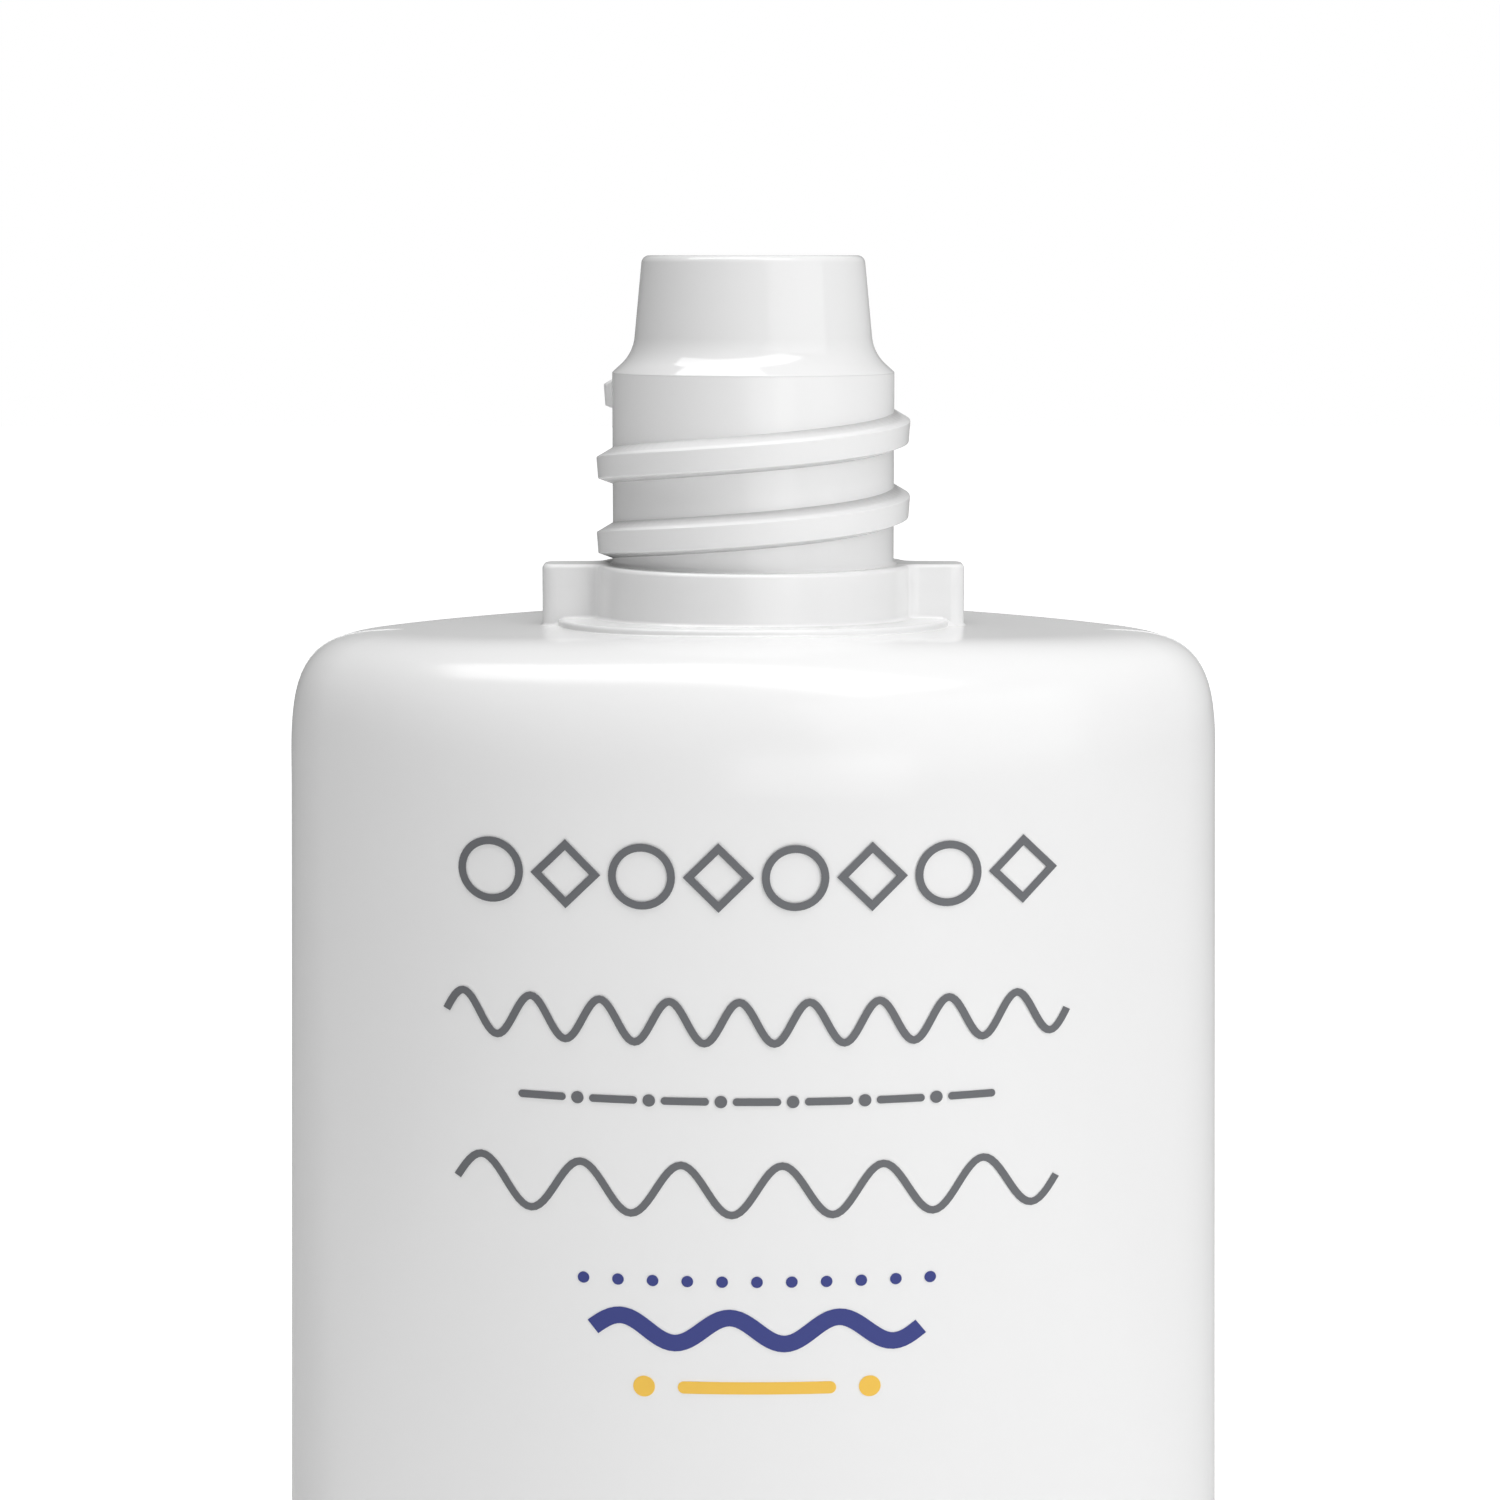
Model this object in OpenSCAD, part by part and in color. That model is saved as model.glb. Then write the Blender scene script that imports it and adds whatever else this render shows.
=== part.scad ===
// Squeeze bottle for sunscreen lotion, neck up, cap off.
// Origin at the centre of the standing face, +Z up through the neck,
// width along X, printed front facing -Y.

/* [Body] */
// Width of the oval body under the shoulder
body_w = 52.9; // [46:0.1:60]
// Width of the body at its thin end
base_w = 55.8; // [46:0.1:64]
// Depth of the oval body under the shoulder
body_d = 35; // [30:0.5:40]
// Depth of the body at its thin end
base_d = 15; // [12:0.5:20]
// Height from the standing face to the crown of the shoulder
body_h = 113; // [95:1:130]
// Radius of the narrow sides of the oval under the shoulder
side_r = 10; // [9:0.25:12]
// Radius of the narrow sides of the oval at the thin end
base_side_r = 4; // [4:0.25:5.5]
// Rounding of the edge round the standing face
base_edge_r = 3; // [1.5:0.25:3.5]
// Thickness of the blown wall
wall = 1.0; // [0.7:0.1:1.4]
// Thickness of the floor over the standing face
floor_t = 1.5; // [1.2:0.1:2.5]

/* [Shoulder] */
// How far the shoulder's round edge reaches in from the wall
shoulder_in = 6.5; // [5:0.25:7]
// How far the shoulder's round edge reaches down the wall
shoulder_drop = 8.2; // [6:0.2:11]
// Squareness of the round edge, where 2 is an ellipse
shoulder_power = 3.6; // [2:0.1:5]
// Rise of the shoulder's crown from its narrow sides to its middle
crown_rise = 0.9; // [0.3:0.1:1.5]

/* [Weld recess] */
// Length of the recess round the pinched weld in the standing face
recess_l = 34; // [20:1:38]
// Width of that recess
recess_w = 2.6; // [1.6:0.2:3.4]
// Depth of that recess
recess_t = 0.5; // [0.3:0.1:0.7]

/* [Collar] */
// Radius of the thin round ledge under the collar
ledge_r = 11.2; // [10.5:0.1:12]
// Height of the ledge over the crown of the shoulder
ledge_rise = 0.3; // [0.2:0.05:0.8]
// Radius of the collar ring
collar_r = 9.0; // [8.6:0.1:9.6]
// Height of the collar ring and wings over the ledge
collar_h = 2.76; // [2:0.1:4]
// Span over the tips of the two wings
wing_span = 24; // [23:0.5:28]
// Thickness of a wing, front to back
wing_t = 3.0; // [2:0.2:4]
// Rounding of a wing's upright outer edges
wing_edge_r = 0.85; // [0.3:0.05:0.95]
// Fillet where a wing runs into the ring
wing_fillet_r = 0.7; // [0.3:0.1:1.2]

/* [Neck] */
// Radius of the neck outside, without its thread
neck_r = 8.0; // [7.8:0.05:8.2]
// Radius of the smooth bore through the neck
bore_r = 6.2; // [5.6:0.1:6.6]
// Height of the neck over the collar
neck_h = 10.88; // [9:0.1:14]

/* [Thread] */
// Radius over the crest of the thread
thread_r = 8.92; // [8.6:0.02:9.2]
// Rise of the thread in one turn
thread_pitch = 4.25; // [3:0.05:4.5]
// Turns of thread from its lower to its upper end
thread_turns = 2.1; // [1:0.1:2.2]
// Where the upper end lies round the neck, in degrees from +X
thread_end_angle = 168; // [90:1:270]
// Drop from the neck's top land to the middle of the thread's upper end
thread_drop = 1.27; // [1.2:0.05:3]
// Width of the thread at its crest
thread_crest_w = 1.22; // [0.8:0.05:1.6]
// Extra width of the upper flank at the neck's surface
upper_flank = 0.54; // [0.3:0.05:0.8]
// Extra width of the lower flank at the neck's surface
lower_flank = 0.3; // [0.1:0.05:0.9]

/* [Nozzle] */
// Radius of the nozzle's flat top, over its rounded corner
tip_r = 6.38; // [5.8:0.05:6.6]
// Height of the nozzle over the neck's top land
tip_h = 6.63; // [5:0.1:9]
// Rounding of the nozzle's top corner
tip_edge_r = 0.45; // [0.2:0.05:0.8]
// Taper of the nozzle's side, in degrees
tip_taper = 5.5; // [2:0.5:7]
// Radius of the hollow flare at the foot of the nozzle
flare_r = 3.0; // [2:0.25:3.5]
// Thickness of the flange's thin edge on the land
flange_edge = 0.14; // [0.1:0.02:0.4]
// Set back of the flange's edge from the outside of the neck
flange_step = 0.05; // [0.05:0.05:0.3]
// Thickness of the wall that holds the orifice
tip_wall = 1.4; // [1:0.1:2]
// Radius of the orifice that the lotion leaves by
orifice_r = 1.9; // [1:0.1:2.5]
// Wall of the skirt that is pressed into the neck
skirt_wall = 1.0; // [0.8:0.1:1.2]
// Length of the skirt below the land
skirt_l = 8.0; // [6:0.25:9]
// Height of the retaining bead round the skirt
bead_h = 0.25; // [0.15:0.05:0.35]
// Width of the retaining bead
bead_w = 1.2; // [0.8:0.1:1.6]
// Drop from the land to the middle of the bead
bead_drop = 5.2; // [3.5:0.1:5.2]

/* [Contents] */
// Drop from the foot of the inner shoulder to the lotion's surface
fill_drop = 2.3; // [0:0.1:60]
// Clearance between the lotion and the inner wall
fill_gap = 0.15; // [0.1:0.05:0.4]

/* [Fits] */
// Clearance between the fitment and the neck's bore
fit_gap = 0.05; // [0.03:0.01:0.1]

/* [Hidden] */

// Smoothness of round pieces and of the oval
$fn = 96;
side_steps = 6;
front_steps = 8;
wall_steps = 8;
base_steps = 4;
shoulder_steps = 10;
crown_steps = 3;
rim_steps = 4;
thread_step_angle = 7.5;
oval_points = 4 * (side_steps + front_steps);

// Heights that follow from the sizes above
wall_top = body_h - crown_rise - shoulder_drop;
ledge_z = body_h + ledge_rise;
collar_z = ledge_z + collar_h;
land_z = collar_z + neck_h;
tip_z = land_z + tip_h;
fill_z = wall_top - wall - fill_drop;

// Small roundings and margins
ledge_edge_r = 0.2;
collar_edge_r = 0.25;
land_edge_r = flange_step;
least_foot_r = 0.3;
inner_crown_scale = 0.2;
root_depth = 3;
thread_bury = 0.3;
thread_fade_angle = 6;
thread_draft = 0.09;
thread_end_share = 0.15;
fillet_sink = 0.9;
fillet_bite = 0.05;
skirt_lead = 0.5;
cut = 1;

// Rings of an oval made of two broad and two narrow arcs
function broad_radius(a, b, r) = ((a - r) * (a - r) + b * b - r * r) / (2 * (b - r));
function turn_angle(a, b, r) = 90 - asin((a - r) / (broad_radius(a, b, r) - r));
function side_point(a, r, t) = [a - r + r * cos(t), r * sin(t)];
function broad_point(b, big, t) = [big * cos(t), big * sin(t) - (big - b)];
function quarter(a, b, r) =
    let (turn = turn_angle(a, b, r), big = broad_radius(a, b, r))
    concat(
        [for (i = [0:side_steps - 1]) side_point(a, r, turn * i / side_steps)],
        [for (i = [0:front_steps]) broad_point(b, big, turn + (90 - turn) * i / front_steps)]
    );
function ring(a, b, r, z) =
    let (q = quarter(a, b, r), n = side_steps + front_steps)
    concat(
        [for (i = [0:n - 1]) [q[i].x, q[i].y, z]],
        [for (i = [n:-1:1]) [-q[i].x, q[i].y, z]],
        [for (i = [0:n - 1]) [-q[i].x, -q[i].y, z]],
        [for (i = [n:-1:1]) [q[i].x, -q[i].y, z]]
    );

// Half width, half depth and side radius of the body's wall at a height
function along(z) = min(z, wall_top) / wall_top;
top_half_w = body_w / 2;
function half_w(z) = (base_w + (body_w - base_w) * along(z)) / 2;
function half_d(z) = (base_d + (body_d - base_d) * along(z)) / 2;
function narrow_r(z) = base_side_r + (side_r - base_side_r) * along(z);
function body_ring(z, inset, at_z) =
    ring(half_w(z) - inset, half_d(z) - inset, narrow_r(z) - inset, at_z);
function wall_ring(z, inset) = body_ring(z, inset, z);

// Rings of the rounded foot, set in by a wall and lifted to a floor
function foot_r(inset) = max(base_edge_r - inset, least_foot_r);
function foot_rings(inset, bottom) =
    let (r = foot_r(inset))
    [for (i = [0:base_steps])
        let (t = 90 * i / base_steps, z = bottom + r * (1 - cos(t)))
        each wall_ring(z, inset + r * (1 - sin(t)))];
function foot_top(inset, bottom) = bottom + foot_r(inset);

// Rings of the straight wall between two heights
function wall_rings(inset, low, high, last) =
    [for (i = [1:last])
        each wall_ring(low + (high - low) * i / wall_steps, inset)];

// Rings of the round shoulder and its crown, lowered by the wall
function arched(points) =
    [for (p = points) [p.x, p.y, p.z - crown_rise * pow(p.x / top_half_w, 2)]];
function shoulder_rings(inset) =
    [for (i = [shoulder_steps:-1:0])
        let (
            t = 90 * i / shoulder_steps,
            in = shoulder_in * (1 - pow(sin(t), 2 / shoulder_power)),
            down = shoulder_drop * (1 - pow(cos(t), 2 / shoulder_power))
        )
        each arched(body_ring(wall_top, inset + in, body_h - inset - down))];
function crown_rings(inset) =
    let (edge = inset + shoulder_in)
    [for (i = [1:crown_steps])
        let (
            s = 1 - (1 - inner_crown_scale) * i / crown_steps,
            a = (top_half_w - edge) * s,
            b = (half_d(wall_top) - edge) * s,
            r = (narrow_r(wall_top) - edge) * s
        )
        each arched(ring(a, b, r, body_h - inset))];

// Closed skin over a stack of equal rings
function skin_faces(rings, n) = concat(
    [[for (j = [0:n - 1]) j]],
    [for (k = [0:rings - 2], j = [0:n - 1])
        [k * n + j, (k + 1) * n + j, (k + 1) * n + (j + 1) % n]],
    [for (k = [0:rings - 2], j = [0:n - 1])
        [k * n + j, (k + 1) * n + (j + 1) % n, k * n + (j + 1) % n]],
    [[for (j = [n - 1:-1:0]) (rings - 1) * n + j]]
);
module skin(points, n) {
    polyhedron(points = points, faces = skin_faces(len(points) / n, n), convexity = 6);
}

// Body with its shoulder, solid, or its hollow when set in by the wall
module body_form(inset, bottom) {
    top = foot_top(inset, bottom);
    points = concat(
        foot_rings(inset, bottom),
        wall_rings(inset, top, wall_top - inset, wall_steps - 1),
        shoulder_rings(inset),
        crown_rings(inset)
    );
    skin(points, oval_points);
}

// Points of an arc in the plane, from one angle to another
function arc(x, y, r, from, to) =
    [for (i = [0:rim_steps])
        let (t = from + (to - from) * i / rim_steps)
        [x + r * cos(t), y + r * sin(t)]];

// Ledge, collar ring and neck as one turned solid
module neck_form() {
    rotate_extrude()
        polygon(concat(
            [[0, body_h - root_depth], [ledge_r, body_h - root_depth]],
            arc(ledge_r - ledge_edge_r, ledge_z - ledge_edge_r, ledge_edge_r, 0, 90),
            [[collar_r, ledge_z]],
            arc(collar_r - collar_edge_r, collar_z - collar_edge_r, collar_edge_r, 0, 90),
            [[neck_r, collar_z]],
            arc(neck_r - land_edge_r, land_z - land_edge_r, land_edge_r, 0, 90),
            [[0, land_z]]
        ));
}

// Plan of both wings with rounded outer edges
module wing_plan() {
    long = wing_span - 2 * wing_edge_r;
    thin = wing_t - 2 * wing_edge_r;
    square([long, wing_t], center = true);
    square([wing_span, thin], center = true);
    for (sx = [-1, 1], sy = [-1, 1])
        translate([sx * long / 2, sy * thin / 2])
            circle(r = wing_edge_r);
}

// Fillet that fills the corner between the ring and one wing's face
module wing_fillet() {
    reach = collar_r + wing_fillet_r - fillet_bite;
    cy = wing_t / 2 + wing_fillet_r;
    cx = sqrt(reach * reach - cy * cy);
    share = collar_r / reach;
    difference() {
        polygon([
            [cx * share * fillet_sink, 0],
            [cx, 0],
            [cx, cy],
            [cx * share, cy * share],
            [cx * share * fillet_sink, cy * share * fillet_sink]
        ]);
        translate([cx, cy])
            circle(r = wing_fillet_r);
    }
}

module wings() {
    translate([0, 0, body_h - root_depth])
        linear_extrude(height = collar_z - body_h + root_depth) {
            wing_plan();
            for (mx = [0, 1], my = [0, 1])
                mirror([mx, 0])
                    mirror([0, my])
                        wing_fillet();
        }
}

// Thread ridge, swept up round the neck from its lower to its upper end
function fade(angle, total) =
    min(1, thread_end_share + (1 - thread_end_share) * min(angle, total - angle) / thread_fade_angle);
function thread_section(angle, total) =
    let (
        f = fade(angle, total),
        tall = (thread_r - neck_r) * f,
        bury = thread_bury,
        half = thread_crest_w / 2,
        slope = bury / (thread_r - neck_r),
        turn = thread_end_angle - total + angle,
        z = land_z - thread_drop - thread_pitch * (total - angle) / 360,
        low = neck_r + tall - thread_draft * f,
        high = neck_r + tall
    )
    [for (p = [
        [neck_r - bury, half + upper_flank * (1 + slope)],
        [high, half],
        [low, -half],
        [neck_r - bury, -half - lower_flank * (1 + slope)]
    ]) [p[0] * cos(turn), p[0] * sin(turn), z + p[1]]];
module thread() {
    total = thread_turns * 360;
    steps = ceil(total / thread_step_angle);
    points = [for (i = [0:steps]) each thread_section(total * i / steps, total)];
    skin(points, 4);
}

// Space inside the shell, with the neck's bore and the bead's groove
module hollow() {
    groove_w = bead_w + 2 * fit_gap;
    body_form(wall, floor_t);
    translate([0, 0, body_h - wall - root_depth])
        cylinder(r = bore_r, h = land_z - body_h + wall + root_depth + cut);
    translate([0, 0, land_z - bead_drop - groove_w / 2])
        cylinder(r = bore_r + bead_h, h = groove_w);
}

// Shallow round-ended recess round the weld in the standing face
module weld_recess() {
    translate([0, 0, -cut])
        linear_extrude(height = recess_t + cut) {
            square([recess_l - recess_w, recess_w], center = true);
            for (s = [-1, 1])
                translate([s * (recess_l - recess_w) / 2, 0])
                    circle(d = recess_w);
        }
}

// Blown bottle: body, shoulder, ledge, collar, wings, neck and thread
module bottle_shell() {
    color([0.95, 0.95, 0.95])
        difference() {
            union() {
                body_form(0, 0);
                neck_form();
                wings();
                thread();
            }
            hollow();
            weld_recess();
        }
}

// Side of the nozzle, from its round top corner down the taper and the flare
function nozzle_side(edge_r, flare_z) =
    let (
        corner_z = tip_z - tip_edge_r,
        side_at_foot = tip_r + (corner_z - flare_z) * tan(tip_taper),
        lean = acos(1 - cos(tip_taper) * (edge_r - side_at_foot) / flare_r),
        start = tip_taper + lean,
        steps = 2 * rim_steps
    )
    concat(
        arc(tip_r - tip_edge_r, corner_z, tip_edge_r, 90, tip_taper),
        [for (i = [0:steps])
            let (t = tip_taper + lean * i / steps)
            [
                edge_r + flare_r * (cos(start) - cos(t)),
                flare_z + flare_r * (sin(start) - sin(t))
            ]]
    );

// Skirt's outside, with its retaining bead and its lead-in, going down
function skirt_side(r, bead_z, end_z) = [
    [r, land_z],
    [r, bead_z + bead_w / 2],
    [r + bead_h, bead_z + bead_w / 4],
    [r + bead_h, bead_z - bead_w / 4],
    [r, bead_z - bead_w / 2],
    [r, end_z + skirt_lead],
    [r - skirt_lead / 2, end_z]
];

// Moulded nozzle that plugs the neck, with its orifice and skirt
module nozzle_fitment() {
    edge_r = neck_r - flange_step;
    skirt_r = bore_r - fit_gap;
    inner_r = skirt_r - skirt_wall;
    skirt_z = land_z - skirt_l;
    roof_z = tip_z - tip_wall;
    roof_r = inner_r - (roof_z - land_z) * tan(tip_taper / 2);
    color([0.97, 0.97, 0.97])
        rotate_extrude()
            polygon(concat(
                [[orifice_r, roof_z], [orifice_r, tip_z]],
                nozzle_side(edge_r, land_z + flange_edge),
                [[edge_r, land_z]],
                skirt_side(skirt_r, land_z - bead_drop, skirt_z),
                [[inner_r, skirt_z], [inner_r, land_z], [roof_r, roof_z]]
            ));
}

// Lotion that fills the body up to its surface
module lotion_fill() {
    inset = wall + fill_gap;
    bottom = floor_t + fill_gap;
    points = concat(
        foot_rings(inset, bottom),
        wall_rings(inset, foot_top(inset, bottom), fill_z, wall_steps)
    );
    color([0.98, 0.97, 0.9])
        skin(points, oval_points);
}

bottle_shell();
nozzle_fitment();
lotion_fill();
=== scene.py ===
# %% [markdown]
# # A white squeeze bottle, neck up
#
# The real object is one blown bottle of satin white plastic with a glossier
# nozzle plugged into its neck. A white thing on a white ground has no colour
# to tell its shape, so everything rests on smooth curves, on the roundness of
# small edges and on soft light that falls off from one side to the other.
# The first cell loads the measured model, which fixes every place and size.

# %% Load the measured model
import math

import bmesh
import bpy
from mathutils import Matrix, Vector


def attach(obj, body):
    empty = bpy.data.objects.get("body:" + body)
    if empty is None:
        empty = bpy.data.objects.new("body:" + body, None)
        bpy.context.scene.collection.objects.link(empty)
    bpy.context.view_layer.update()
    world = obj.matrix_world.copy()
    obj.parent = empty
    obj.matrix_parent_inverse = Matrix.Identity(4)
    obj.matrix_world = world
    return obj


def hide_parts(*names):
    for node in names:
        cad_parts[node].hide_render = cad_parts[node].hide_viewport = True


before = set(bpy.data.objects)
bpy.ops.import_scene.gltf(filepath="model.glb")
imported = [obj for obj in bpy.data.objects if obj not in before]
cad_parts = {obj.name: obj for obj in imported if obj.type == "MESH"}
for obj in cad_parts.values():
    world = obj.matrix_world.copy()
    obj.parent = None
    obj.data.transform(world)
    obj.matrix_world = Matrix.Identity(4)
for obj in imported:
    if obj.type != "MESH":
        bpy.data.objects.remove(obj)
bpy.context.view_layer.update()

MM = 0.001

# %% [markdown]
# The measured model is exact where it is turned, but its blown body is made
# of flat facets. So the body, the collar and the neck are drawn again here as
# smooth surfaces on the same sizes. Those sizes come first, in millimetres.

# %% Sizes of the blown body
BODY_W, BASE_W = 52.9, 55.8
BODY_D, BASE_D = 35.0, 15.0
BODY_H = 113.0
SIDE_R, BASE_SIDE_R = 10.0, 4.0
FOOT_R = 3.0
WALL = 1.0
SHOULDER_IN, SHOULDER_DROP = 6.5, 8.2
# Powers of the shoulder's round corner, where 2 is an ellipse.
SIDE_SQUARENESS, FRONT_SQUARENESS = 3.6, 2.7
CROWN, CROWN_ROUND = 0.87, 4.0
WALL_TOP = BODY_H - CROWN - SHOULDER_DROP
HALF_W = BODY_W / 2

# %% Sizes of the collar, neck and nozzle
LEDGE_R, LEDGE_Z, LEDGE_FALL = 11.2, BODY_H + 0.3, 0.22
COLLAR_R, COLLAR_Z = 9.0, LEDGE_Z + 2.88
WING_TIP, WING_HALF_T = 12.0, 1.5
WING_EDGE_R, WING_FILLET_R = 0.85, 0.7
NECK_R, BORE_R, LAND_Z = 8.0, 6.2, COLLAR_Z + 10.76
NECK_FOOT_R = 0.2
THREAD_R, THREAD_PITCH, THREAD_TURNS = 8.92, 4.25, 2.1
THREAD_END, THREAD_DROP, CREST_W = 165.5, 1.29, 1.22
UPPER_FLANK, LOWER_FLANK, DRAFT = 0.54, 0.30, 0.09
TIP_R, TIP_Z, TIP_EDGE_R = 6.33, LAND_Z + 6.63, 0.45
TAPER, FLARE_R, FLANGE_EDGE = math.radians(5.5), 2.4, 0.02
ORIFICE_R, TIP_WALL = 1.9, 1.4
print("nozzle top at", round(TIP_Z, 2), "mm")

# %% [markdown]
# Two helpers do most of the modelling. `loft` starts from one circle and
# extrudes its edge loop through a row of sections, which suits a form whose
# outline changes as it rises. `lathe` spins a closed outline once round the
# axis, which suits everything that a lathe could turn. Both work on a bmesh
# in millimetres, and `as_piece` turns that into an object in metres.

# %% Helper: extrude a loop through sections
def loft(bm, count, sections):
    """Extrudes a loop of count points through sections, each a function of a point's number."""
    number = bm.verts.layers.int.get("number") or bm.verts.layers.int.new("number")
    ring = bmesh.ops.create_circle(bm, segments=count, radius=1)["verts"]
    for i, vert in enumerate(ring):
        vert[number] = i
    edges = list({edge for vert in ring for edge in vert.link_edges})
    for vert in ring:
        vert.co = sections[0](vert[number])
    for section in sections[1:]:
        grown = bmesh.ops.extrude_edge_only(bm, edges=edges)["geom"]
        ring = {item for item in grown if isinstance(item, bmesh.types.BMVert)}
        edges = [
            item for item in grown
            if isinstance(item, bmesh.types.BMEdge) and set(item.verts) <= ring
        ]
        for vert in ring:
            vert.co = section(vert[number])


# %% Helper: spin an outline round the axis
def lathe(bm, outline, steps=144):
    """Spins a closed outline of (radius, height) points round +Z."""
    verts = [bm.verts.new((r, 0, z)) for r, z in outline]
    edges = [bm.edges.new((a, b)) for a, b in zip(verts, verts[1:] + verts[:1])]
    bmesh.ops.spin(
        bm, geom=verts + edges, cent=(0, 0, 0), axis=(0, 0, 1),
        angle=2 * math.pi, steps=steps, use_merge=True,
    )


def arc(x, y, r, start, end, steps):
    """Points of an arc from one angle to another, in degrees."""
    angles = [math.radians(start + (end - start) * i / steps) for i in range(steps + 1)]
    return [(x + r * math.cos(t), y + r * math.sin(t)) for t in angles]


# %% Helper: make a bmesh a piece of the object
def as_piece(bm, name, merge=0.0005):
    """A smooth object in metres that rides on the root body."""
    bmesh.ops.remove_doubles(bm, verts=bm.verts, dist=merge)
    bmesh.ops.recalc_face_normals(bm, faces=bm.faces)
    bmesh.ops.scale(bm, vec=(MM, MM, MM), verts=bm.verts)
    for face in bm.faces:
        face.smooth = True
    mesh = bpy.data.meshes.new(name)
    bm.to_mesh(mesh)
    bm.free()
    piece = bpy.data.objects.new(name, mesh)
    bpy.context.collection.objects.link(piece)
    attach(piece, "root")
    print(name, len(mesh.polygons), "faces")
    return piece


def weighted(piece):
    """Keeps flat faces flat in the shading beside their small rounded edges."""
    piece.modifiers.new("flat faces", "WEIGHTED_NORMAL").weight = 90


# %% [markdown]
# The blown body is an oval of two broad and two narrow arcs. Low down it is
# thin and wide, like the closed end of a tube, and it swells to a full oval
# under the shoulder. A loft fits this better than a sculpted block, because
# each level of the bottle is a section with its own width, depth and radius.

# %% Points round the oval
RING = 96
SIDE_STEPS = 10


def oval(a, b, r, i):
    """Point i of a ring of half width a, half depth b and narrow radius r."""
    quarter, step = divmod(i, RING // 4)
    if quarter % 2:
        step = RING // 4 - step
    broad = ((a - r) ** 2 + b * b - r * r) / (2 * (b - r))
    turn = math.pi / 2 - math.asin((a - r) / (broad - r))
    if step < SIDE_STEPS:
        t = turn * step / SIDE_STEPS
        x, y = a - r + r * math.cos(t), r * math.sin(t)
    else:
        t = turn + (math.pi / 2 - turn) * (step - SIDE_STEPS) / (RING // 4 - SIDE_STEPS)
        x, y = broad * math.cos(t), broad * math.sin(t) - (broad - b)
    return (-x if quarter in (1, 2) else x), (-y if quarter in (2, 3) else y)


# %% Sizes of the wall at a height, and the arch of the crown
def wall_size(z):
    """Half width, half depth and narrow radius."""
    share = min(z, WALL_TOP) / WALL_TOP
    return (
        (BASE_W + (BODY_W - BASE_W) * share) / 2,
        (BASE_D + (BODY_D - BASE_D) * share) / 2,
        BASE_SIDE_R + (SIDE_R - BASE_SIDE_R) * share,
    )


def crown_fall(x):
    """How far the crown has come down at x, from its middle to the narrow sides."""
    def slope(at):
        return math.hypot(at, CROWN_ROUND) - CROWN_ROUND
    return CROWN * slope(x) / slope(HALF_W)


def crown_top(x):
    """Height of the crown at x."""
    return BODY_H - crown_fall(x)


def ease(t):
    """Goes smoothly from 0 to 1 as t does."""
    t = min(max(t, 0), 1)
    return t * t * (3 - 2 * t)


# %% Sections of the wall, foot, shoulder and crown
ARCH_FROM = 78.0
# Shares of the half width where the shoulder's corner is round, and square.
ROUND_UNTIL, SQUARE_FROM = 0.35, 0.95
MOUTH_R, MOUTH_DEPTH = 7.0, 0.05


def wall_section(z, inset=0.0):
    """The oval of the wall at a height, lifted near the top to follow the crown's arch."""
    def at(i):
        x, y = oval(*(size - inset for size in wall_size(z)), i)
        lift = (CROWN - crown_fall(x)) * ease((z - ARCH_FROM) / (WALL_TOP - ARCH_FROM))
        return Vector((x, y, z + max(lift, 0)))
    return at


def shoulder_corner(t, share):
    """How far in and down the corner is at an angle, from round in front to square at the sides."""
    power = 2 / (FRONT_SQUARENESS + (SIDE_SQUARENESS - FRONT_SQUARENESS) * share)
    return SHOULDER_IN * (1 - math.sin(t) ** power), SHOULDER_DROP * (1 - math.cos(t) ** power)


def shoulder_turn(share):
    """The corner's angle at a share of the way in, with finer steps at both ends."""
    return math.pi / 4 * (1 + math.cos(math.pi * share))


def shoulder_section(t):
    """The oval at an angle of the corner, from the wall at a quarter turn to the crown at 0."""
    def at(i):
        x, y = oval(*wall_size(WALL_TOP), i)
        share = ease((abs(x) / HALF_W - ROUND_UNTIL) / (SQUARE_FROM - ROUND_UNTIL))
        inset, down = shoulder_corner(t, share)
        x, y = oval(*(size - inset for size in wall_size(WALL_TOP)), i)
        return Vector((x, y, crown_top(x) - down))
    return at


def crown_section(scale):
    """The oval of the crown, drawn in by a scale."""
    def at(i):
        x, y = oval(*((size - SHOULDER_IN) * scale for size in wall_size(WALL_TOP)), i)
        return Vector((x, y, crown_top(x)))
    return at


def mouth_section(i):
    """A round opening that the collar hides."""
    flat = Vector(oval(HALF_W - SHOULDER_IN, BODY_D / 2 - SHOULDER_IN, SIDE_R - SHOULDER_IN, i))
    flat = flat.normalized() * MOUTH_R
    return Vector((flat.x, flat.y, BODY_H - MOUTH_DEPTH))


# %% [markdown]
# The standing face isn't a plain flat. Where the mould pinched the hot tube
# shut it left a weld: a thin ridge in a shallow round-ended recess, so that
# the bottle rests on the flat round it. A Boolean could cut it out later, but
# as the first sections of the same loft, from the ridge outwards, it stays
# one clean surface with the wall.

# %% Sections of the weld recess
WELD_A, WELD_B, WELD_R = 17.1, 1.42, 1.4
WELD_ROUND = 0.985


def flat_section(a, b, z):
    """A long slot with round ends, level at z."""
    return lambda i: Vector((*oval(a, b, b * WELD_ROUND, i), z))


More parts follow.
